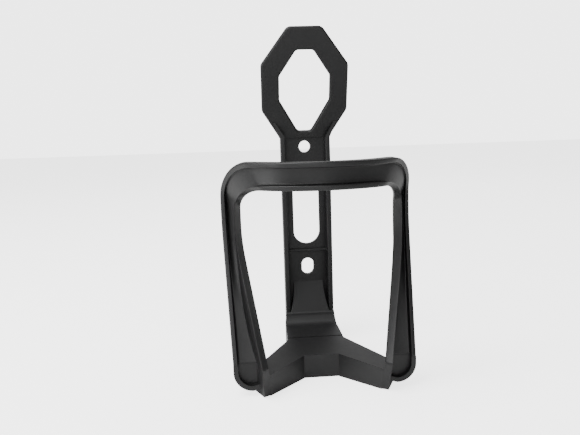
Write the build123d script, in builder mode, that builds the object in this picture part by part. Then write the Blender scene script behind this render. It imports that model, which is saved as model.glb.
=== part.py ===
from build123d import *
from math import cos, radians, sin, sqrt, tan
import os

# Water bottle cage: a one-piece plastic moulding, modelled as its moulded members.
# The spine bolts to the frame tube, the hoop runs round the front of the bottle and
# down both sides into the foot, and the bottle stands on the Y-shaped foot.
# Millimetres. +Z is up along the bottle, the front of the cage faces -Y.
# Origin: on the plane the foot stands on, midway across the width and the depth.
# "Ahead" always means the distance in front of the mounting face.

# ---- driving dimensions -------------------------------------------------------------

# bottle and hoop, both round the bottle's upright axis
hoop_inner_radius = 35.2  # sprung a little smaller than a 73 mm bottle
hoop_depth = 7.8
bottle_behind = 10.8  # between the mounting face and the bottle
hoop_wall = 2.1  # flanges of the hoop's channel
rim_width = 2.7  # the inner flange's rim, which thickens down the legs
rim_rise = 4.4  # outer corner of that rim on the upper legs, off the bottle
bar_web_thickness = 3.6  # the recessed web of the front bar
bar_bottom = 89.7
bar_top = 100.8
bar_half_length = 22.0  # the bar proper ends here and the shoulders begin

# legs of the hoop, as the front view shows them
leg_inner_inset = 1.4  # the leg's inner edge, inside the hoop's inner radius
leg_outer_inset = 0.1  # and its outer edge, inside the hoop's outer radius
inner_corner_radius = 9.6  # where the bar turns down into the legs
outer_corner_width = 13.3
outer_corner_height = 17.0
corner_setback = 3.0  # the rims fall back by this much halfway round the corner
leg_inner_bend = 66.0  # below this height the inner edge leans in
leg_outer_bend = 72.0  # below this height the outer edge leans in and forward
leg_bend_softness = 7.0  # each bend is spread this far above and below
leg_foot_height = 14.0  # the leg ends here, on the toe and the cup
leg_inner_lean = 9.2  # how far the inner edge has leaned in there
leg_outer_lean = 3.1
leg_foot_lead = 6.0  # the inner rim has left the bottle by this much at the foot
leg_rim_lean = 22.6  # the outer rim comes this much forward over the leg
inner_wall_depth = 6.3  # upper leg, front to back
inner_wall_foot_depth = 14.0
outer_wall_depth = 7.5
leg_floor = 3.4  # back wall of the upper leg's channel, by the bottle
leg_side_floor = 5.0  # and by the outer wall, all the way down into the cup
rim_step = 0.6  # the outer rim's inner corner stands this far forward

# toes and cups, the closed lower ends of the legs
toe_rim_lead = 3.0  # the toe's outer front corner stands this much ahead of the inner
# the toe's bottom corners: in from the leg's inner edge, and ahead of the bottle's axis
toe_bottom_inner = (0.4, 26.1)
toe_bottom_outer = (-2.3, 27.6)
toe_bottom_root = (-6.4, 19.0)
toe_bottom_heel = (-4.4, 18.5)
toe_round = 1.0
cup_radius = 8.4
cup_bottom = 2.5
cup_bottom_slope = 2.0

# spine
spine_half = 12.7
web_thickness = 3.0
rail_thickness = 2.4
rail_depth = 9.0
rail_top_depth = 8.4
rail_taper_start = 98.0
rail_run_out = 8.0  # the rails die out on the head loop over this height
rail_tip_depth = 0.4
rail_tip_width = 1.2
rail_tip_inset = 1.1  # their tips lie this far inside the loop's edge
rail_heel_round = 7.0
rail_edge_round = 0.6

# bolt holes for M5 bolts
upper_hole_height = 104.2
hole_spacing = 64.0
upper_hole_radius = 3.0
lower_slot_width = 6.4
lower_slot_length = 9.0

# lightening window between the holes, and the thin rib under it
window_half = 6.9
window_below = 11.7  # its top, below the upper hole
window_above = 12.2  # its bottom, above the lower slot
rib_above = 9.0  # the rib, above the lower slot
rib_thickness = 1.4
rib_depth = 1.2

# ramp and heel, which step the bottle forward off the spine
ramp_height = 15.0
ramp_waist_height = 7.0  # above the ramp's bottom
ramp_top_half = 8.0
ramp_waist_half = 8.7
heel_ahead = 10.0  # front of the heel wall
heel_wall = 2.4
heel_round = 5.0
heel_straight = 1.1  # straight wall between that round and the ramp
core_half = 5.4  # moulding core that hollows the ramp from behind
core_bottom = 4.0
core_below = 8.0  # its top, below the ramp's top

# foot
foot_height = 10.9  # top of the shelf the bottle stands on
shelf_thickness = 2.4
skirt_thickness = 2.2
stem_length = 34.5  # where the arms leave the stem
stem_back_half = 13.4  # the heel flares out to this at the shelf
stem_half = 13.8  # the stem widens to this at the arms
nose_half = 8.0  # flat front of the stem, between the arms
nose_ahead = 56.0
arm_back_share = 0.14  # where the arm's back edge meets the leg, from its heel to its rim
groove_ahead = 32.0  # shallow groove across the shelf at the arms' roots
groove_width = 0.9
groove_depth = 0.7

# head loop: an elongated octagon that leans forward over the spine
loop_lean = 18.0
loop_base = 108.9  # crease where the loop leaves the spine
loop_thickness = 3.6
loop_length = 56.7  # along the loop, from the crease
loop_half = 21.8
loop_top_half = 8.4
loop_low_side = 15.6
loop_shoulder = 18.1  # the sides turn in this far below the top
loop_neck = 0.6  # the sides start to flare here
loop_neck_round = 8.0
loop_tail = 4.0  # run-out below the crease, trimmed level with it
loop_corner = 3.6
loop_edge_round = 1.0
loop_hole_half = 12.7
loop_hole_bottom_half = 3.4
loop_hole_top_half = 4.2
loop_hole_bottom = 4.3
loop_hole_low_side = 20.6
loop_hole_shoulder = 12.7  # its sides turn in this far below its top
loop_top_band = 11.0  # between the hole's top and the loop's
loop_hole_corner = 2.4

# ---- placing ------------------------------------------------------------------------

bottle_offset = hoop_inner_radius + bottle_behind
hoop_outer_radius = hoop_inner_radius + hoop_depth
back_y = (bottle_offset + hoop_outer_radius) / 2
axis_y = back_y - bottle_offset

bar_web_radius = hoop_inner_radius + bar_web_thickness
rim_radius = hoop_inner_radius + rim_rise
leg_top_inner_half = hoop_inner_radius - leg_inner_inset
leg_top_outer_half = hoop_outer_radius - leg_outer_inset
leg_foot_inner_half = leg_top_inner_half - leg_inner_lean
leg_foot_outer_half = leg_top_outer_half - leg_outer_lean
lower_slot_height = upper_hole_height - hole_spacing
window_top = upper_hole_height - window_below
window_bottom = lower_slot_height + window_above
ramp_bottom = foot_height + heel_round + heel_straight
ramp_top = ramp_bottom + ramp_height
core_top = ramp_top - core_below
loop_high_side = loop_length - loop_shoulder
loop_hole_top = loop_length - loop_top_band
loop_hole_high_side = loop_hole_top - loop_hole_shoulder


def ahead(distance):
    """The y of a place this far ahead of the mounting face."""
    return back_y - distance


def round_bottle(radius, x):
    """The y of the front of an upright cylinder about the bottle axis, at this x."""
    return axis_y - sqrt(radius**2 - x**2)


def beside_bottle(radius, y):
    """The x of an upright cylinder about the bottle axis, at this y."""
    return sqrt(radius**2 - (axis_y - y) ** 2)


def blend(start, end, share):
    return start + (end - start) * share


def both_sides(right_side):
    """A closed outline, from the corners of its right half."""
    return right_side + [(-x, v) for x, v in reversed(right_side)]


# ---- the hoop's channel -------------------------------------------------------------
# The hoop is a channel that opens forward everywhere, so that it draws from a two-part
# mould. A station is one cross-section, in the plane through its inner and its outer
# corner in the front view and the front-to-back direction. Its eight corners run from
# the inner rim into the channel, out over the outer rim and back behind the channel.


def station(inner, outer, corners):
    """The section's plane, and its corners as (distance from inner towards outer, y)."""
    along = Vector(outer[0] - inner[0], 0, outer[1] - inner[1]).normalized()
    upright = along.cross(Vector(0, 1, 0))
    return Plane(origin=(inner[0], 0, inner[1]), x_dir=along, z_dir=upright), corners


def bar_depth(x):
    """How deep the bar is from front to back, this far along it."""
    return round_bottle(hoop_inner_radius, x) - round_bottle(hoop_outer_radius, x)


def web_depth(x):
    """How deep the bar's web is from front to back, this far along it."""
    return round_bottle(hoop_inner_radius, x) - round_bottle(bar_web_radius, x)


inner_corner_start = leg_top_inner_half - inner_corner_radius
outer_corner_start = leg_top_outer_half - outer_corner_width
on_top_bottle = round_bottle(hoop_inner_radius, leg_top_inner_half)
leg_top_rim = round_bottle(hoop_outer_radius, leg_top_outer_half)


def bar_end_station():
    """The square-cut end of the bar, where every wall runs straight back."""
    height = bar_top - bar_bottom
    rim = round_bottle(hoop_outer_radius, bar_half_length)
    floor = round_bottle(bar_web_radius, bar_half_length)
    back = round_bottle(hoop_inner_radius, bar_half_length)
    corners = [
        (0, rim),
        (hoop_wall, rim),
        (hoop_wall, floor),
        (height - hoop_wall, floor),
        (height - hoop_wall, rim),
        (height, rim),
        (height, back),
        (0, back),
    ]
    return station((bar_half_length, bar_bottom), (bar_half_length, bar_top), corners)


def channel_station(inner, outer, turn, inner_rim, outer_rim, depths, floors):
    """A section of shoulder or leg; turn is 0 next to the bar and 1 in the leg.

    inner_rim holds the y of that rim's two corners, outer_rim is the y of the other, and
    depths holds how deep the inner and the outer wall are, front to back, and floors how
    thick the channel's floor is at each of them.
    """
    width = Vector(outer[0] - inner[0], 0, outer[1] - inner[1]).length
    slope = (outer[0] - inner[0]) / width
    heel_y = inner_rim[0] + depths[0]
    back = outer_rim + depths[1]
    rim = blend(hoop_wall, rim_width, turn)
    heel_x = inner[0]
    root_x = inner[0] + hoop_wall * slope
    root_y = heel_y - floors[0]
    side_y = back - floors[1]
    if turn > 0:
        wall_x = beside_bottle(hoop_inner_radius + hoop_wall, root_y)
        heel_x = blend(heel_x, beside_bottle(hoop_inner_radius, heel_y), turn)
        root_x = blend(root_x, wall_x, turn)
    corners = [
        (0, inner_rim[0]),
        (rim, inner_rim[1]),
        ((root_x - inner[0]) / slope, root_y),
        (width - hoop_wall, side_y),
        (width - hoop_wall, outer_rim - rim_step * turn),
        (width, outer_rim),
        (width, back),
        ((heel_x - inner[0]) / slope, heel_y),
    ]
    return station(inner, outer, corners)


def shoulder_station(share):
    """The channel turning down over a quarter of an oval in the front view."""
    angle = radians(90 * share)
    inner = (
        leg_top_inner_half - inner_corner_radius * (1 - sin(angle)),
        bar_bottom - inner_corner_radius * (1 - cos(angle)),
    )
    outer = (
        leg_top_outer_half - outer_corner_width * (1 - sin(angle)),
        bar_top - outer_corner_height * (1 - cos(angle)),
    )
    inner_radius = blend(hoop_outer_radius, hoop_inner_radius, share)
    outer_radius = blend(hoop_outer_radius, rim_radius, share)
    setback = corner_setback * sin(2 * angle)
    inner_rim = [
        round_bottle(inner_radius, inner[0]) + setback,
        round_bottle(outer_radius, inner[0] + rim_width * share) + setback,
    ]
    depths = [
        blend(bar_depth(inner_corner_start), inner_wall_depth, share) - setback,
        blend(bar_depth(outer_corner_start), outer_wall_depth, share) - setback,
    ]
    floors = [
        blend(web_depth(inner_corner_start), leg_floor, share),
        blend(web_depth(outer_corner_start), leg_side_floor, share),
    ]
    outer_rim = round_bottle(hoop_outer_radius, outer[0]) + setback
    return channel_station(inner, outer, share, inner_rim, outer_rim, depths, floors)


def below(bend, height):
    """How far a height is below a bend that is spread over its softness."""
    if height > bend - leg_bend_softness:
        return max(0.0, bend + leg_bend_softness - height) ** 2 / (4 * leg_bend_softness)
    return bend - height


def leg_station(height):
    """A level section of the leg, which leans in and forward below its bend."""
    inner_drop = below(leg_inner_bend, height) / (leg_inner_bend - leg_foot_height)
    outer_drop = below(leg_outer_bend, height) / (leg_outer_bend - leg_foot_height)
    inner_x = blend(leg_top_inner_half, leg_foot_inner_half, inner_drop)
    outer_x = blend(leg_top_outer_half, leg_foot_outer_half, outer_drop)
    on_bottle = round_bottle(hoop_inner_radius, inner_x) - leg_foot_lead * inner_drop**2
    on_rim = round_bottle(rim_radius, leg_top_inner_half + rim_width) - on_top_bottle
    inner_rim = [on_bottle, on_bottle + blend(on_rim, -toe_rim_lead, inner_drop)]
    outer_rim = leg_top_rim - leg_rim_lean * outer_drop
    depths = [blend(inner_wall_depth, inner_wall_foot_depth, inner_drop), outer_wall_depth]
    # at the foot the floor is level right across, in line with the cup's
    level_floor = on_bottle + depths[0] - (outer_rim + outer_wall_depth - leg_side_floor)
    floors = [blend(leg_floor, level_floor, inner_drop), leg_side_floor]
    inner = (inner_x, height)
    outer = (outer_x, height)
    return channel_station(inner, outer, 1.0, inner_rim, outer_rim, depths, floors)


def skin(stations):
    """Loft through the stations, in order."""
    sections = []
    for plane, corners in stations:
        with BuildSketch(plane) as section:
            with BuildLine():
                Polyline(*corners, close=True)
            make_face()
        sections.append(section.sketch.face())
    loft(sections, ruled=True)


shoulder_stations = [bar_end_station()]
for share in (0.0, 0.2, 0.4, 0.6, 0.8, 1.0):
    shoulder_stations.append(shoulder_station(share))

leg_stations = [shoulder_stations[-1]]
for height in (77.0, 71.0, 65.0, 59.0, 50.0, 40.0, 27.0, leg_foot_height):
    leg_stations.append(leg_station(height))

with BuildPart() as right_shoulder:
    skin(shoulder_stations)

with BuildPart() as right_leg:
    skin(leg_stations)


def bar_ring(inner_radius, outer_radius, bottom, top):
    """A level ring about the bottle axis, kept only between the bar's square-cut ends."""
    with BuildSketch(Plane.XY.offset(bottom)) as ring:
        with Locations((0, axis_y)):
            Circle(outer_radius)
            Circle(inner_radius, mode=Mode.SUBTRACT)
        with Locations((0, axis_y - hoop_outer_radius / 2)):
            Rectangle(2 * bar_half_length, hoop_outer_radius, mode=Mode.INTERSECT)
    extrude(ring.sketch, amount=top - bottom)


with BuildPart() as bar_web:
    bar_ring(hoop_inner_radius, bar_web_radius, bar_bottom + hoop_wall, bar_top - hoop_wall)

with BuildPart() as bar_top_flange:
    bar_ring(hoop_inner_radius, hoop_outer_radius, bar_top - hoop_wall, bar_top)

with BuildPart() as bar_bottom_flange:
    bar_ring(hoop_inner_radius, hoop_outer_radius, bar_bottom, bar_bottom + hoop_wall)

# ---- toes and cups, the closed lower ends of the legs -------------------------------

foot_section = [(leg_foot_inner_half + w, y) for w, y in leg_stations[-1][1]]
toe_top = [foot_section[0], foot_section[1], foot_section[2], foot_section[7]]
toe_bottom = [toe_bottom_inner, toe_bottom_outer, toe_bottom_root, toe_bottom_heel]
toe_bottom = [(leg_foot_inner_half - x, axis_y - distance) for x, distance in toe_bottom]
cup_front = foot_section[5][1]
cup_back = foot_section[6][1]


def toe_section(height):
    """The toe's four corners at this height: inner rim, outer rim, root and heel."""
    share = height / leg_foot_height
    pairs = zip(toe_bottom, toe_top)
    return [(blend(low[0], top[0], share), blend(low[1], top[1], share)) for low, top in pairs]


def level_face(height, corners):
    """A level face at this height, through the corners."""
    with BuildSketch(Plane.XY.offset(height)) as face:
        with BuildLine():
            Polyline(*corners, close=True)
        make_face()
    return face.sketch.face()


with BuildPart() as right_toe:
    loft([level_face(height, toe_section(height)) for height in (0.0, leg_foot_height)], ruled=True)
    fillet(right_toe.edges().group_by(Axis.Z)[0].sort_by(Axis.Y)[0], toe_round)


def cup_outline(inset):
    """Front view of the cup: a straight outer side that runs into a round bottom."""
    side = leg_foot_outer_half - inset
    low = cup_bottom + inset
    radius = cup_radius - inset
    with BuildLine() as outline:
        Line((leg_foot_inner_half, leg_foot_height), (side, leg_foot_height))
        Line((side, leg_foot_height), (side, low + radius))
        CenterArc((side - radius, low + radius), radius, 0, -90)
        Line((side - radius, low), (leg_foot_inner_half, low + cup_bottom_slope))
        Line((leg_foot_inner_half, low + cup_bottom_slope), (leg_foot_inner_half, leg_foot_height))
    make_face(outline.edges())


def beside_toe(height):
    """Everything that lies on the toe's side of its outer walls, at this height."""
    front, rim, root, heel_corner = toe_section(height)
    behind = cup_back + cup_radius
    return [(0, behind), (heel_corner[0], behind), heel_corner, root, rim, (0, rim[1])]


with BuildPart() as right_cup:
    with BuildSketch(Plane.XZ.offset(-cup_back)):
        cup_outline(0)
    extrude(amount=cup_back - cup_front)
    with BuildSketch(Plane.XZ.offset(leg_side_floor - cup_back)):
        cup_outline(hoop_wall)
    extrude(amount=cup_back - cup_front, mode=Mode.SUBTRACT)
    # the toe is the cup's inner side, so the cup keeps only what lies outside it
    loft(
        [level_face(height, beside_toe(height)) for height in (0.0, leg_foot_height)],
        ruled=True,
        mode=Mode.SUBTRACT,
    )

# ---- foot ---------------------------------------------------------------------------


def foot_outline(start_ahead, height):
    """Plan of the foot at a height: a stem that splits into two arms, up to the toes."""
    front, rim, root, heel_corner = toe_section(height)
    share = (start_ahead - heel_ahead) / (stem_length - heel_ahead)
    arm_back = [blend(low, high, arm_back_share) for low, high in zip(heel_corner, front)]
    right = [
        (blend(stem_back_half, stem_half, share), ahead(start_ahead)),
        (stem_half, ahead(stem_length)),
        tuple(arm_back),
        front,
        (nose_half, ahead(nose_ahead)),
    ]
    left = [(-x, y) for x, y in reversed(right)]
    return right + left


shelf_bottom = foot_height - shelf_thickness
shelf_start = heel_ahead + heel_round

with BuildPart() as shelf:
    shelf_levels = (shelf_bottom, foot_height)
    loft([level_face(level, foot_outline(shelf_start, level)) for level in shelf_levels], ruled=True)
    with BuildSketch(Plane.XY.offset(foot_height)):
        with Locations((0, ahead(groove_ahead))):
            Rectangle(4 * spine_half, groove_width)
    extrude(amount=-groove_depth, mode=Mode.SUBTRACT)

with BuildPart() as skirt_ring:
    skirt_levels = (0.0, shelf_bottom)
    loft([level_face(level, foot_outline(heel_ahead, level)) for level in skirt_levels], ruled=True)
    with BuildSketch():
        with BuildLine():
            Polyline(*foot_outline(heel_ahead, 0.0), close=True)
        make_face()
        offset(amount=-skirt_thickness, kind=Kind.INTERSECTION, mode=Mode.REPLACE)
    extrude(amount=shelf_bottom, mode=Mode.SUBTRACT)


def skirt_slice(low_x, high_x):
    """The part of the skirt between two x."""
    add(skirt_ring.part)
    with BuildSketch() as slice_plan:
        with Locations(((low_x + high_x) / 2, 0)):
            Rectangle(high_x - low_x, 4 * back_y)
    extrude(slice_plan.sketch, amount=shelf_bottom, mode=Mode.INTERSECT)


with BuildPart() as nose_skirt:
    skirt_slice(-nose_half, nose_half)
    # the stem's back wall is the heel, so only the front piece is the nose
    split(bisect_by=Plane.XZ.offset(-ahead(stem_length)), keep=Keep.TOP)

with BuildPart() as right_skirt:
    skirt_slice(nose_half, 2 * spine_half + leg_foot_outer_half)

# ---- spine --------------------------------------------------------------------------

web_half = spine_half - rail_thickness
mount_plane = Plane.XZ.offset(-back_y)

with BuildPart() as back_plate:
    with BuildSketch(mount_plane):
        with Locations((0, loop_base / 2)):
            Rectangle(2 * web_half, loop_base)
        with Locations((0, upper_hole_height)):
            Circle(upper_hole_radius, mode=Mode.SUBTRACT)
        with Locations((0, lower_slot_height)):
            SlotOverall(lower_slot_length, lower_slot_width, rotation=90, mode=Mode.SUBTRACT)
        with Locations((0, (window_bottom + window_top) / 2)):
            SlotOverall(window_top - window_bottom, 2 * window_half, rotation=90, mode=Mode.SUBTRACT)
        with Locations((0, (core_bottom + core_top) / 2)):
            RectangleRounded(2 * core_half, core_top - core_bottom, 2, mode=Mode.SUBTRACT)
    extrude(amount=web_thickness)

loop_front = loop_thickness / cos(radians(loop_lean))
tip_height = loop_base + rail_run_out
tip_along = rail_run_out / cos(radians(loop_lean))
tip_front = loop_front + rail_run_out * tan(radians(loop_lean))
flank_share = (tip_along - loop_neck) / (loop_low_side - loop_neck)
tip_x = blend(spine_half, loop_half, flank_share) - rail_tip_inset
rail_foot_corners = [
    (web_half, ahead(loop_front)),
    (spine_half, ahead(loop_front)),
    (spine_half, ahead(rail_top_depth)),
    (web_half, ahead(rail_top_depth)),
]
rail_tip_corners = [
    (tip_x - rail_tip_width, ahead(tip_front)),
    (tip_x, ahead(tip_front)),
    (tip_x, ahead(tip_front + rail_tip_depth)),
    (tip_x - rail_tip_width, ahead(tip_front + rail_tip_depth)),
]
rail_foot_face = level_face(loop_base, rail_foot_corners)
rail_tip_face = level_face(tip_height, rail_tip_corners)

with BuildPart() as right_rail:
    with BuildSketch(Plane.YZ.offset(web_half)):
        with BuildLine():
            Line((ahead(0), rail_heel_round), (ahead(0), loop_base))
            Line((ahead(0), loop_base), (ahead(rail_top_depth), loop_base))
            Line((ahead(rail_top_depth), loop_base), (ahead(rail_depth), rail_taper_start))
            Line((ahead(rail_depth), rail_taper_start), (ahead(rail_depth), ramp_bottom))
            Line((ahead(rail_depth), ramp_bottom), (ahead(heel_ahead - heel_wall), ramp_bottom))
            Line((ahead(heel_ahead - heel_wall), ramp_bottom), (ahead(heel_ahead - heel_wall), 0))
            Line((ahead(heel_ahead - heel_wall), 0), (ahead(rail_heel_round), 0))
            CenterArc((ahead(rail_heel_round), rail_heel_round), rail_heel_round, -90, 90)
        make_face()
    extrude(amount=rail_thickness)
    rail_front = right_rail.faces().filter_by(Axis.Y).sort_by(Axis.Y)[0]
    fillet(rail_front.edges().filter_by(Axis.Z), rail_edge_round)
    # above the crease the rail dies out up the face and the flank of the head loop
    loft([rail_foot_face, rail_tip_face], ruled=True)

with BuildPart() as cross_rib:
    with BuildSketch(mount_plane.offset(web_thickness)):
        with Locations((0, lower_slot_height + rib_above)):
            Rectangle(2 * web_half, rib_thickness)
    extrude(amount=rib_depth)

# ---- ramp and heel ------------------------------------------------------------------

waist = ramp_bottom + ramp_waist_height

with BuildPart() as seat_ramp:
    # side view: a wedge from the web to the heel, cored out from behind
    with BuildSketch(Plane.YZ.offset(-web_half)):
        with BuildLine():
            Polyline(
                (ahead(web_thickness), ramp_top),
                (ahead(heel_ahead), ramp_bottom),
                (ahead(web_thickness), ramp_bottom),
                close=True,
            )
        make_face()
    extrude(amount=2 * web_half)
    # front view: narrow at the top, and flaring to the rails at the bottom
    with BuildSketch(mount_plane):
        with BuildLine():
            Line((-web_half, ramp_bottom), (web_half, ramp_bottom))
            Spline((web_half, ramp_bottom), (ramp_waist_half, waist), (ramp_top_half, ramp_top))
            Line((ramp_top_half, ramp_top), (-ramp_top_half, ramp_top))
            Spline((-ramp_top_half, ramp_top), (-ramp_waist_half, waist), (-web_half, ramp_bottom))
        make_face()
    extrude(amount=2 * heel_ahead, mode=Mode.INTERSECT)
    with BuildSketch(Plane.YZ.offset(-core_half)):
        with BuildLine():
            Polyline(
                (ahead(web_thickness), core_top),
                (ahead(heel_ahead - heel_wall), ramp_bottom),
                (ahead(web_thickness), ramp_bottom),
                close=True,
            )
        make_face()
    extrude(amount=2 * core_half, mode=Mode.SUBTRACT)

heel_outline = [
    (stem_back_half, 0),
    (stem_back_half, foot_height),
    (spine_half, ramp_bottom),
]

with BuildPart() as heel:
    # side view: the heel wall, and the round that carries it into the shelf
    with BuildSketch(Plane.YZ.offset(-stem_back_half)):
        with BuildLine():
            Line((ahead(heel_ahead - heel_wall), 0), (ahead(heel_ahead - heel_wall), ramp_bottom))
            Line((ahead(heel_ahead - heel_wall), ramp_bottom), (ahead(heel_ahead), ramp_bottom))
            Line((ahead(heel_ahead), ramp_bottom), (ahead(heel_ahead), foot_height + heel_round))
            CenterArc((ahead(shelf_start), foot_height + heel_round), heel_round, 0, -90)
            Line((ahead(shelf_start), foot_height), (ahead(shelf_start), shelf_bottom))
            Line((ahead(shelf_start), shelf_bottom), (ahead(heel_ahead), shelf_bottom))
            Line((ahead(heel_ahead), shelf_bottom), (ahead(heel_ahead), 0))
            Line((ahead(heel_ahead), 0), (ahead(heel_ahead - heel_wall), 0))
        make_face()
    extrude(amount=2 * stem_back_half)
    # front view: flaring from the spine's width to the stem's
    with BuildSketch(mount_plane):
        with BuildLine():
            Polyline(*both_sides(heel_outline), close=True)
        make_face()
    extrude(amount=2 * shelf_start, mode=Mode.INTERSECT)

# ---- head loop ----------------------------------------------------------------------

loop_plane = Plane(
    origin=(0, back_y, loop_base),
    x_dir=(1, 0, 0),
    z_dir=(0, -cos(radians(loop_lean)), -sin(radians(loop_lean))),
)


loop_corners = [
    (spine_half, -loop_tail),
    (spine_half, loop_neck),
    (loop_half, loop_low_side),
    (loop_half, loop_high_side),
    (loop_top_half, loop_length),
]
loop_hole_corners = [
    (loop_hole_bottom_half, loop_hole_bottom),
    (loop_hole_half, loop_hole_low_side),
    (loop_hole_half, loop_hole_high_side),
    (loop_hole_top_half, loop_hole_top),
]

with BuildPart() as head_loop:
    with BuildSketch(loop_plane) as loop_sketch:
        with BuildLine():
            Polyline(*both_sides(loop_corners), close=True)
        make_face()
        fillet(loop_sketch.vertices().group_by(Axis.Y)[1], loop_neck_round)
        fillet(loop_sketch.vertices().group_by(Axis.Y)[3:], loop_corner)
    extrude(amount=loop_thickness)
    with BuildSketch(loop_plane) as hole_sketch:
        with BuildLine():
            Polyline(*both_sides(loop_hole_corners), close=True)
        make_face()
        fillet(hole_sketch.vertices(), loop_hole_corner)
    extrude(amount=loop_thickness, mode=Mode.SUBTRACT)
    loop_faces = head_loop.faces().filter_by(Axis(loop_plane.origin, loop_plane.z_dir))
    fillet(loop_faces.edges(), loop_edge_round)
    split(bisect_by=Plane.XY.offset(loop_base), keep=Keep.TOP)

# ---- the left side is the right side mirrored ---------------------------------------

with BuildPart() as left_shoulder:
    mirror(right_shoulder.part, about=Plane.YZ)

with BuildPart() as left_leg:
    mirror(right_leg.part, about=Plane.YZ)

with BuildPart() as left_toe:
    mirror(right_toe.part, about=Plane.YZ)

with BuildPart() as left_cup:
    mirror(right_cup.part, about=Plane.YZ)

with BuildPart() as left_skirt:
    mirror(right_skirt.part, about=Plane.YZ)

with BuildPart() as left_rail:
    mirror(right_rail.part, about=Plane.YZ)

# ---- write one file for each member -------------------------------------------------

members = {
    "back_plate": back_plate,
    "left_rail": left_rail,
    "right_rail": right_rail,
    "cross_rib": cross_rib,
    "head_loop": head_loop,
    "seat_ramp": seat_ramp,
    "heel": heel,
    "shelf": shelf,
    "nose_skirt": nose_skirt,
    "left_skirt": left_skirt,
    "right_skirt": right_skirt,
    "left_toe": left_toe,
    "right_toe": right_toe,
    "left_cup": left_cup,
    "right_cup": right_cup,
    "left_leg": left_leg,
    "right_leg": right_leg,
    "left_shoulder": left_shoulder,
    "right_shoulder": right_shoulder,
    "bar_web": bar_web,
    "bar_top_flange": bar_top_flange,
    "bar_bottom_flange": bar_bottom_flange,
}

os.makedirs("parts", exist_ok=True)
for name, member in members.items():
    member.part.label = name
    export_step(member.part, f"parts/{name}.step")
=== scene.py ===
from math import cos, radians, sin

import bmesh
import bpy
import numpy as np
from mathutils import Matrix, Vector
from mathutils.bvhtree import BVHTree


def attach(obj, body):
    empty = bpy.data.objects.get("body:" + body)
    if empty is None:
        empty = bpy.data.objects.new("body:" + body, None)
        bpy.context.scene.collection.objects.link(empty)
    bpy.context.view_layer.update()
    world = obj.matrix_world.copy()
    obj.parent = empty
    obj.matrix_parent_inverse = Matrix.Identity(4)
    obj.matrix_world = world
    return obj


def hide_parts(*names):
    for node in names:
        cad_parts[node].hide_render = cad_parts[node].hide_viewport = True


# Water bottle cage: one black moulding, on a pale floor in soft light.
# The spine and the foot are copies of their CAD members with rounded edges, apart from the
# head loop, which is the CAD member itself. The hoop is one smooth skin over its members.
# The hoop's sizes are in millimetres, and all else is in metres unless it says so.

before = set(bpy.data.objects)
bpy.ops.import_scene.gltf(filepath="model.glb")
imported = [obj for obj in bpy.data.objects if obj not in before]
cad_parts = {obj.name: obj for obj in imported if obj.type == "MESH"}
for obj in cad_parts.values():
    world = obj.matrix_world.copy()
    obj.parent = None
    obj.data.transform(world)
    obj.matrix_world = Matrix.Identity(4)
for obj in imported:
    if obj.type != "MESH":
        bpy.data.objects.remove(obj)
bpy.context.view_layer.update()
MM = 0.001

# ---- camera --------------------------------------------------------------------------

CAMERA_PLACE = Vector((-0.0297469, -0.2689769, 0.1138924))
YAW, PITCH, ROLL = 0.0674, -0.1496, -0.0321  # radians: right of +Y, above level, right side up
SENSOR_WIDTH, FOCAL_LENGTH = 36, 36.7637586  # millimetres

forward = Vector((sin(YAW) * cos(PITCH), cos(YAW) * cos(PITCH), sin(PITCH)))
level = Vector((cos(YAW), -sin(YAW), 0))
upright = level.cross(forward)
right = cos(ROLL) * level + sin(ROLL) * upright
up = -sin(ROLL) * level + cos(ROLL) * upright
lens = bpy.data.cameras.new("camera")
lens.sensor_width = SENSOR_WIDTH
lens.lens = FOCAL_LENGTH
lens.clip_start = 0.01
camera = bpy.data.objects.new("camera", lens)
turn = Matrix((right, up, -forward)).transposed().to_4x4()
camera.matrix_world = Matrix.Translation(CAMERA_PLACE) @ turn
bpy.context.scene.collection.objects.link(camera)
bpy.context.scene.camera = camera

# ---- moulded plastic -----------------------------------------------------------------

# patterns, in waves a metre
GRAIN_WAVES = 2600
PIT_WAVES = 2100
CLOUD_WAVES = 55
STREAK_WAVES = 240
STREAK_STRETCH = (1, 1, 0.16)  # fewer waves upwards, so streaks run up the part

# how much each pattern does
SPECK_GLOSS = 0.10  # grain, to the roughness
SPECK_SHADE = 0.25  # grain, to the shade, as a share of it
CLOUD_SHADE = 0.35  # clouds and streaks, to the shade
PIT_HEIGHT = 0.5  # pits, to the height of the grain
COOL = 1.05  # blue against red and green
GRAIN_STRENGTH = 0.35


def new_group(name, inputs, outputs):
    """A shader node group with the named float inputs, and outputs as (name, kind)."""
    group = bpy.data.node_groups.new(name, "ShaderNodeTree")
    for label in inputs:
        group.interface.new_socket(label, in_out="INPUT", socket_type="NodeSocketFloat")
    for label, kind in outputs:
        group.interface.new_socket(label, in_out="OUTPUT", socket_type=kind)
    return group, group.nodes.new("NodeGroupInput"), group.nodes.new("NodeGroupOutput")


def noise(nodes, links, place, waves, detail, roughness=0.5):
    """Noise of this many waves a metre at a place, as a factor round one half."""
    node = nodes.new("ShaderNodeTexNoise")
    node.inputs["Scale"].default_value = waves
    node.inputs["Detail"].default_value = detail
    node.inputs["Roughness"].default_value = roughness
    links.new(place, node.inputs["Vector"])
    return node.outputs["Fac"]


def maths(nodes, links, operation, first, second, third=None, clamp=False):
    """One Math node; numbers are set on its sockets, and anything else is linked."""
    node = nodes.new("ShaderNodeMath")
    node.operation = operation
    node.use_clamp = clamp
    for socket, value in zip(node.inputs, (first, second, third)):
        if value is None:
            continue
        if isinstance(value, (int, float)):
            socket.default_value = value
        else:
            links.new(value, socket)
    return node.outputs[0]


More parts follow.
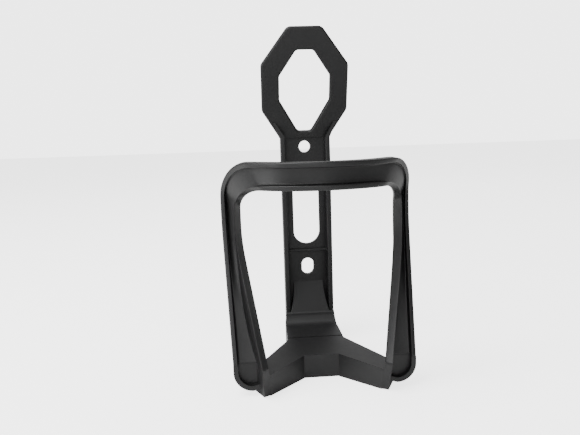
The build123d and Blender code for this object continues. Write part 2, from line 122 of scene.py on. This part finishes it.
def make_moulded_skin():
    """Grain and gloss of a moulding: a fine spark-eroded grain with pits, cloudy gloss where
    the melt cooled unevenly, and faint flow streaks up the part.

    Roughness is Gloss + Cloud * uneven + SPECK_GLOSS * speck, and the shade is
    Shade * (1 + CLOUD_SHADE * uneven + SPECK_SHADE * speck), where uneven is clouds and
    streaks round zero, and speck is the grain round zero.
    """
    outputs = (
        ("Colour", "NodeSocketColor"),
        ("Roughness", "NodeSocketFloat"),
        ("Height", "NodeSocketFloat"),
    )
    group, given, result = new_group("moulded_skin", ("Shade", "Gloss", "Cloud"), outputs)
    nodes, links = group.nodes, group.links
    place = nodes.new("ShaderNodeTexCoord").outputs["Object"]
    stretch = nodes.new("ShaderNodeMapping")
    stretch.inputs["Scale"].default_value = STREAK_STRETCH
    links.new(place, stretch.inputs["Vector"])
    grain = noise(nodes, links, place, GRAIN_WAVES, detail=3, roughness=0.6)
    pits = nodes.new("ShaderNodeTexVoronoi")
    pits.inputs["Scale"].default_value = PIT_WAVES
    links.new(place, pits.inputs["Vector"])
    cloud = noise(nodes, links, place, CLOUD_WAVES, detail=4)
    streak = noise(nodes, links, stretch.outputs["Vector"], STREAK_WAVES, detail=3)

    both = maths(nodes, links, "ADD", cloud, streak)
    uneven = maths(nodes, links, "SUBTRACT", both, 1.0)
    speck = maths(nodes, links, "SUBTRACT", grain, 0.5)
    rough = maths(
        nodes, links, "MULTIPLY_ADD", uneven, given.outputs["Cloud"], given.outputs["Gloss"]
    )
    rough = maths(nodes, links, "MULTIPLY_ADD", speck, SPECK_GLOSS, rough, clamp=True)
    lift = maths(nodes, links, "MULTIPLY_ADD", uneven, CLOUD_SHADE, 1.0)
    lift = maths(nodes, links, "MULTIPLY_ADD", speck, SPECK_SHADE, lift)
    shade = maths(nodes, links, "MULTIPLY", lift, given.outputs["Shade"])
    cool = maths(nodes, links, "MULTIPLY", shade, COOL)
    colour = nodes.new("ShaderNodeCombineColor")
    for socket, value in zip(colour.inputs, (shade, shade, cool)):
        links.new(value, socket)
    height = maths(nodes, links, "MULTIPLY_ADD", pits.outputs["Distance"], PIT_HEIGHT, grain)
    links.new(colour.outputs[0], result.inputs["Colour"])
    links.new(rough, result.inputs["Roughness"])
    links.new(height, result.inputs["Height"])
    return group


moulded_skin = make_moulded_skin()


def new_material(name):
    material = bpy.data.materials.new(name)
    material.use_nodes = True
    return material, material.node_tree.nodes, material.node_tree.links


def black_plastic(name, shade, gloss, cloud, depth, specular):
    """Satin black moulded plastic. gloss is its roughness and cloud how far that wanders;
    depth is the grain's, in metres."""
    material, nodes, links = new_material(name)
    shader = nodes["Principled BSDF"]
    shader.inputs["Specular IOR Level"].default_value = specular
    skin = nodes.new("ShaderNodeGroup")
    skin.node_tree = moulded_skin
    for label, value in (("Shade", shade), ("Gloss", gloss), ("Cloud", cloud)):
        skin.inputs[label].default_value = value
    links.new(skin.outputs["Colour"], shader.inputs["Base Color"])
    links.new(skin.outputs["Roughness"], shader.inputs["Roughness"])
    bump = nodes.new("ShaderNodeBump")
    bump.inputs["Strength"].default_value = GRAIN_STRENGTH
    bump.inputs["Distance"].default_value = depth
    links.new(skin.outputs["Height"], bump.inputs["Height"])
    links.new(bump.outputs["Normal"], shader.inputs["Normal"])
    return material


# The cage is one plastic, and these three shades of it are painted light and shade. The foot's
# lighter shade is painted light from the pale floor's bounce. The spine's darker shade is painted
# shade on its upright faces. The hoop's shade lies between them.
spine_black_painted_shade = black_plastic(
    "spine_black_painted_shade", shade=0.006, gloss=0.46, cloud=0.10, depth=0.00004, specular=0.3
)
foot_black_painted_light = black_plastic(
    "foot_black_painted_light", shade=0.009, gloss=0.50, cloud=0.10, depth=0.00005, specular=0.35
)
hoop_black = black_plastic(
    "hoop_black", shade=0.007, gloss=0.42, cloud=0.08, depth=0.00004, specular=0.35
)

# ---- rounded copies of the CAD members -------------------------------------------------

SPINE_ROUND, FOOT_ROUND, END_ROUND = 0.3, 0.4, 0.6  # millimetres
ROUND_SEGMENTS = 3
WELD = 1e-6  # corners this close are one
JOINT_GAP = 4e-5  # an edge this close to another member is a joint
FLAT = radians(0.5)  # triangles within this turn make one flat face
SHARP = radians(28)  # edges that turn more than this are rounded


def merged_copy(member):
    """A CAD node's triangles, merged into one shell and gathered into flat faces."""
    shell = bmesh.new()
    shell.from_mesh(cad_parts[member].data)
    bmesh.ops.remove_doubles(shell, verts=shell.verts, dist=WELD)
    bmesh.ops.dissolve_limit(shell, angle_limit=FLAT, verts=shell.verts, edges=shell.edges)
    return shell


surfaces = {}
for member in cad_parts:
    solid = merged_copy(member)
    surfaces[member] = BVHTree.FromBMesh(solid)
    solid.free()


def rounded_skin(member, round_mm, material, every_edge=False):
    """A member with its free edges rounded over. An edge whose middle lies on another
    member is a joint of the moulding, which runs on smoothly, so it stays as it is unless
    every_edge is asked for."""
    shell = merged_copy(member)
    weight = shell.edges.layers.float.new("bevel_weight_edge")
    others = [surface for name, surface in surfaces.items() if name != member]
    for edge in shell.edges:
        if len(edge.link_faces) != 2 or edge.calc_face_angle() < SHARP:
            continue
        middle = (edge.verts[0].co + edge.verts[1].co) / 2
        joined = any(other.find_nearest(middle, JOINT_GAP)[0] is not None for other in others)
        if joined and not every_edge:
            edge.smooth = False
        else:
            edge[weight] = 1
    for face in shell.faces:
        face.smooth = True
    mesh = bpy.data.meshes.new(member + "_skin")
    shell.to_mesh(mesh)
    shell.free()
    mesh.materials.append(material)
    skin = bpy.data.objects.new(member + "_skin", mesh)
    bpy.context.scene.collection.objects.link(skin)
    rounding = skin.modifiers.new("rounding", "BEVEL")
    rounding.width = round_mm * MM
    rounding.segments = ROUND_SEGMENTS
    rounding.limit_method = "WEIGHT"
    flat_faces = skin.modifiers.new("flat_faces", "WEIGHTED_NORMAL")
    flat_faces.weight = 100
    flat_faces.keep_sharp = True
    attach(skin, "root")
    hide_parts(member)


for member in ("back_plate", "left_rail", "right_rail", "seat_ramp", "cross_rib"):
    rounded_skin(member, SPINE_ROUND, spine_black_painted_shade)
for member in ("heel", "shelf", "nose_skirt", "left_skirt", "right_skirt"):
    rounded_skin(member, FOOT_ROUND, foot_black_painted_light)
for side in ("left", "right"):
    rounded_skin(side + "_toe", END_ROUND, foot_black_painted_light, every_edge=True)
    rounded_skin(side + "_cup", END_ROUND, hoop_black)
head_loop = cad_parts["head_loop"]
head_loop.data.materials.clear()
head_loop.data.materials.append(spine_black_painted_shade)

# ---- the hoop, one smooth channel from cup to cup ---------------------------------------

# radii round the bottle's upright axis
INNER = 35.2  # inside of the hoop, by the bottle
OUTER = INNER + 7.8
WEB = INNER + 3.6  # front of the bar's recessed web
RIM = INNER + 4.4  # outer corner of the inner rim on the upper legs

# the channel's section
WALL = 2.1
RIM_WIDTH = 2.7  # inner rim, which thickens down the legs
RIM_STEP = 0.6  # the outer rim's inner corner stands this far forward
WALL_IN, WALL_OUT = 6.3, 7.5  # front to back, the inner and the outer wall
WALL_FOOT = 14.0  # the inner wall's depth at the foot
FLOOR, SIDE_FLOOR = 3.4, 5.0  # back wall by the inner and by the outer wall

# the bar, and the turn from it down into the legs
BAR_LOW, BAR_HIGH = 89.7, 100.8
BAR_END = 22.0
TURN_IN, TURN_OUT_WIDE, TURN_OUT_HIGH = 9.6, 13.3, 17.0
SETBACK = 3.0  # the rims fall back by this much halfway round the turn

# the legs, from their top down to the foot
LEG_IN, LEG_OUT = INNER - 1.4, OUTER - 0.1  # inner and outer edge, from the middle
FOOT_IN, FOOT_OUT = LEG_IN - 9.2, LEG_OUT - 3.1
LEG_TOP, FOOT_TOP = 79.0, 14.0
BEND_IN, BEND_OUT = 66.0, 72.0  # each edge leans in below its bend
SOFT = 7.0  # a bend is spread this far above and below
LEAD = 6.0  # the inner rim has left the bottle by this much at the foot
LEAN = 22.6  # the outer rim has come forward by this much there
TOE_LEAD = 3.0  # the inner rim's outer corner stands this far ahead there

# stations along the hoop, and how it is smoothed
BAR_STATIONS, TURN_STATIONS, LEG_STATIONS = 23, 41, 80
EASING_PASSES = 6
CORNER_ROUND = np.array([0.7, 0.5, 0.9, 0.9, 0.5, 0.7, 0.9, 0.8])  # in channel's order
CORNER_STEPS = 6
CORNER_SHARE = 0.42  # of a side, at most, that a rounded corner takes

BOTTLE_AHEAD = INNER + 10.8  # the bottle's axis, from the mounting face
axis_y = (BOTTLE_AHEAD + OUTER) / 2 - BOTTLE_AHEAD


def round_bottle(radius, x):
    """y of the front of an upright cylinder round the bottle's axis, at x."""
    return axis_y - np.sqrt(radius**2 - x**2)


def beside_bottle(radius, y):
    """x of that cylinder at y, or 0 ahead of it."""
    return np.sqrt(np.maximum(0, radius**2 - (axis_y - y) ** 2))


def mix(first, last, share):
    """The value that lies this share of the way from first to last."""
    return first + (last - first) * share


def channel(inner, outer, turn, rims, outer_rim, depths, floors):
    """The eight corners of the channel at every station, as (x, y, z) in millimetres.

    A corner is inner + along * w, where along runs from the inner to the outer corner in
    the front view and w is the corner's distance; y is worked out apart. turn is 0 on the
    bar, where the back runs across to the inner corner, and 1 on the legs, where it meets
    the bottle's cylinder. The order is inner rim, channel floor, outer rim, back.
    """
    gap = outer - inner
    width = np.linalg.norm(gap, axis=1)
    slope = np.maximum(gap[:, 0] / width, 1e-6)  # the bar's is nothing, and divides below
    heel_y = rims[0] + depths[0]
    back = outer_rim + depths[1]
    root_y, side_y = heel_y - floors[0], back - floors[1]
    wall_x = beside_bottle(INNER + WALL, root_y)
    heel_w = turn * (beside_bottle(INNER, heel_y) - inner[:, 0]) / slope
    root_w = (1 - turn) * WALL + turn * (wall_x - inner[:, 0]) / slope
    w = np.stack([
        0 * width, mix(WALL, RIM_WIDTH, turn), root_w, width - WALL,
        width - WALL, width, width, heel_w,
    ], 1)
    y = np.stack([
        rims[0], rims[1], root_y, side_y, outer_rim - RIM_STEP * turn, outer_rim, back, heel_y,
    ], 1)
    along = gap / width[:, None]
    x = inner[:, :1] + along[:, :1] * w
    z = inner[:, 1:] + along[:, 1:] * w
    return np.stack([x, y, z], 2)


def web_depth(x):
    """Thickness of the bar's recessed web, front to back, at x."""
    return round_bottle(INNER, x) - round_bottle(WEB, x)


def bar_depth(x):
    """Thickness of the bar's flanges, front to back, at x."""
    return round_bottle(INNER, x) - round_bottle(OUTER, x)


def bar_corners(x):
    """Upright sections of the bar, at every x."""
    inner, outer = np.stack([x, 0 * x + BAR_LOW], 1), np.stack([x, 0 * x + BAR_HIGH], 1)
    rim = round_bottle(OUTER, x)
    return channel(inner, outer, 0 * x, [rim, rim], rim, [bar_depth(x)] * 2, [web_depth(x)] * 2)


def shoulder_corners(share):
    """Sections turning down over a quarter of an oval: share is 0 at the bar, 1 at the leg."""
    angle = np.radians(90 * share)
    sideways, downwards = 1 - np.sin(angle), 1 - np.cos(angle)
    inner = np.stack([LEG_IN - TURN_IN * sideways, BAR_LOW - TURN_IN * downwards], 1)
    outer = np.stack([LEG_OUT - TURN_OUT_WIDE * sideways, BAR_HIGH - TURN_OUT_HIGH * downwards], 1)
    setback = SETBACK * np.sin(2 * angle)
    rims = [
        round_bottle(mix(OUTER, INNER, share), inner[:, 0]) + setback,
        round_bottle(mix(OUTER, RIM, share), inner[:, 0] + RIM_WIDTH * share) + setback,
    ]
    outer_rim = round_bottle(OUTER, outer[:, 0]) + setback
    start_in, start_out = LEG_IN - TURN_IN, LEG_OUT - TURN_OUT_WIDE
    depths = [
        mix(bar_depth(start_in), WALL_IN, share) - setback,
        mix(bar_depth(start_out), WALL_OUT, share) - setback,
    ]
    floors = [mix(web_depth(start_in), FLOOR, share), mix(web_depth(start_out), SIDE_FLOOR, share)]
    return channel(inner, outer, share, rims, outer_rim, depths, floors)


def drop(bend, height):
    """Share of the way from a soft bend down to the foot: quadratic within SOFT of it."""
    eased = np.maximum(0, bend + SOFT - height) ** 2 / (4 * SOFT)
    return np.where(height > bend - SOFT, eased, bend - height) / (bend - FOOT_TOP)


def leg_corners(height):
    """Level sections of the leg, leaning in and forward below its bends."""
    fall_in, fall_out = drop(BEND_IN, height), drop(BEND_OUT, height)
    inner_x, outer_x = mix(LEG_IN, FOOT_IN, fall_in), mix(LEG_OUT, FOOT_OUT, fall_out)
    on_bottle = round_bottle(INNER, inner_x) - LEAD * fall_in**2
    step = round_bottle(RIM, LEG_IN + RIM_WIDTH) - round_bottle(INNER, LEG_IN)
    rims = [on_bottle, on_bottle + mix(step, -TOE_LEAD, fall_in)]
    outer_rim = round_bottle(OUTER, LEG_OUT) - LEAN * fall_out
    depths = [mix(WALL_IN, WALL_FOOT, fall_in), WALL_OUT + 0 * height]
    inner, outer = np.stack([inner_x, height], 1), np.stack([outer_x, height], 1)
    level_floor = on_bottle + depths[0] - (outer_rim + WALL_OUT - SIDE_FLOOR)
    floors = [mix(FLOOR, level_floor, fall_in), SIDE_FLOOR]
    return channel(inner, outer, 1 + 0 * height, rims, outer_rim, depths, floors)


def eased_path(points, passes):
    """Evens out the stations' kinks: each pass moves a station a quarter of the way
    towards each neighbour, and the two ends stay."""
    for _ in range(passes):
        points[1:-1] = (points[:-2] + 2 * points[1:-1] + points[2:]) / 4
    return points


def rounded_profile(corners, radius, steps):
    """Every corner of the closed profile becomes a parabola between points that lie
    radius, or CORNER_SHARE of the shorter side, away from it:
    (1-t)^2 start + 2t(1-t) corner + t^2 end."""
    before, after = np.roll(corners, 1, axis=1) - corners, np.roll(corners, -1, axis=1) - corners
    reach = [np.linalg.norm(side, axis=2, keepdims=True) for side in (before, after)]
    cut = np.minimum(radius[None, :, None], CORNER_SHARE * np.minimum(*reach))
    start, end = corners + before / reach[0] * cut, corners + after / reach[1] * cut
    start, corner, end = start[:, :, None], corners[:, :, None], end[:, :, None]
    t = np.linspace(0, 1, steps)[None, None, :, None]
    arc = (1 - t) ** 2 * start + 2 * t * (1 - t) * corner + t**2 * end
    return arc.reshape(len(corners), -1, 3)


def closed_tube(name, rings, material):
    """A skin through closed rings of points, station by station, with both ends capped."""
    stations, count = rings.shape[:2]
    index = np.arange(stations * count).reshape(stations, count)
    beside = np.roll(index, -1, axis=1)
    quads = np.stack([index[:-1], beside[:-1], beside[1:], index[1:]], -1).reshape(-1, 4)
    faces = quads.tolist() + [index[0][::-1].tolist(), index[-1].tolist()]
    mesh = bpy.data.meshes.new(name)
    mesh.from_pydata((rings.reshape(-1, 3) * MM).tolist(), [], faces)
    shell = bmesh.new()
    shell.from_mesh(mesh)
    bmesh.ops.recalc_face_normals(shell, faces=shell.faces)
    for face in shell.faces:
        face.smooth = len(face.verts) == 4
    shell.to_mesh(mesh)
    shell.free()
    mesh.materials.append(material)
    piece = bpy.data.objects.new(name, mesh)
    bpy.context.scene.collection.objects.link(piece)
    return piece


half = np.concatenate([
    bar_corners(np.linspace(0, BAR_END, BAR_STATIONS)),
    shoulder_corners(np.linspace(0, 1, TURN_STATIONS)),
    leg_corners(np.linspace(LEG_TOP, FOOT_TOP, LEG_STATIONS)),
])
half = eased_path(half, EASING_PASSES)
mirrored = half[:0:-1] * (-1, 1, 1)
rings = rounded_profile(np.concatenate([mirrored, half]), CORNER_ROUND, CORNER_STEPS)
hoop = closed_tube("hoop", rings, hoop_black)
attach(hoop, "root")
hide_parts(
    "bar_web", "bar_top_flange", "bar_bottom_flange",
    "left_shoulder", "right_shoulder", "left_leg", "right_leg",
)

# ---- floor and light -------------------------------------------------------------------

FLOOR_HALF = 3.0
PALE = (0.95, 0.95, 0.945, 1)
WHITE = (1, 1, 1, 1)
FLOOR_GLOW = 2.6  # seen from the camera only, so that it lights nothing
SKY_LIGHT, SKY_GLOW = 0.55, 3.3  # what lights the cage, and what the camera sees besides
LIGHT_AIM = Vector((0, 0, 0.06))


def make_floor():
    """One pale square, facing up."""
    near, far = -FLOOR_HALF, FLOOR_HALF
    mesh = bpy.data.meshes.new("floor")
    corners = [(near, near, 0), (far, near, 0), (far, far, 0), (near, far, 0)]
    mesh.from_pydata(corners, [], [(0, 1, 2, 3)])
    pale, nodes, links = new_material("pale_floor")
    shader = nodes["Principled BSDF"]
    shader.inputs["Base Color"].default_value = PALE
    shader.inputs["Roughness"].default_value = 0.9
    shader.inputs["Emission Color"].default_value = WHITE
    seen = nodes.new("ShaderNodeLightPath").outputs["Is Camera Ray"]
    glow = maths(nodes, links, "MULTIPLY", seen, FLOOR_GLOW)
    links.new(glow, shader.inputs["Emission Strength"])
    mesh.materials.append(pale)
    floor = bpy.data.objects.new("floor", mesh)
    bpy.context.scene.collection.objects.link(floor)


def make_world():
    """An even white sky."""
    world = bpy.data.worlds.new("studio")
    world.use_nodes = True
    nodes, links = world.node_tree.nodes, world.node_tree.links
    sky = nodes["Background"]
    sky.inputs["Color"].default_value = WHITE
    seen = nodes.new("ShaderNodeLightPath").outputs["Is Camera Ray"]
    strength = maths(nodes, links, "MULTIPLY_ADD", seen, SKY_GLOW, SKY_LIGHT)
    links.new(strength, sky.inputs["Strength"])
    bpy.context.scene.world = world


def soft_light(name, place, size, power):
    """A square lamp of this size and power, turned towards the cage."""
    light = bpy.data.lights.new(name, "AREA")
    light.shape = "SQUARE"
    light.size = size
    light.energy = power
    lamp = bpy.data.objects.new(name, light)
    lamp.location = place
    lamp.rotation_euler = (LIGHT_AIM - Vector(place)).to_track_quat("-Z", "Y").to_euler()
    bpy.context.scene.collection.objects.link(lamp)


make_floor()
make_world()
soft_light("key_light", (-0.35, -0.20, 0.80), size=0.5, power=9)
soft_light("left_light", (-0.75, -0.30, 0.30), size=0.5, power=4.5)
soft_light("front_light", (-0.10, -0.80, 0.35), size=0.5, power=2)
soft_light("back_light", (0.15, 0.85, 0.70), size=0.6, power=1.2)
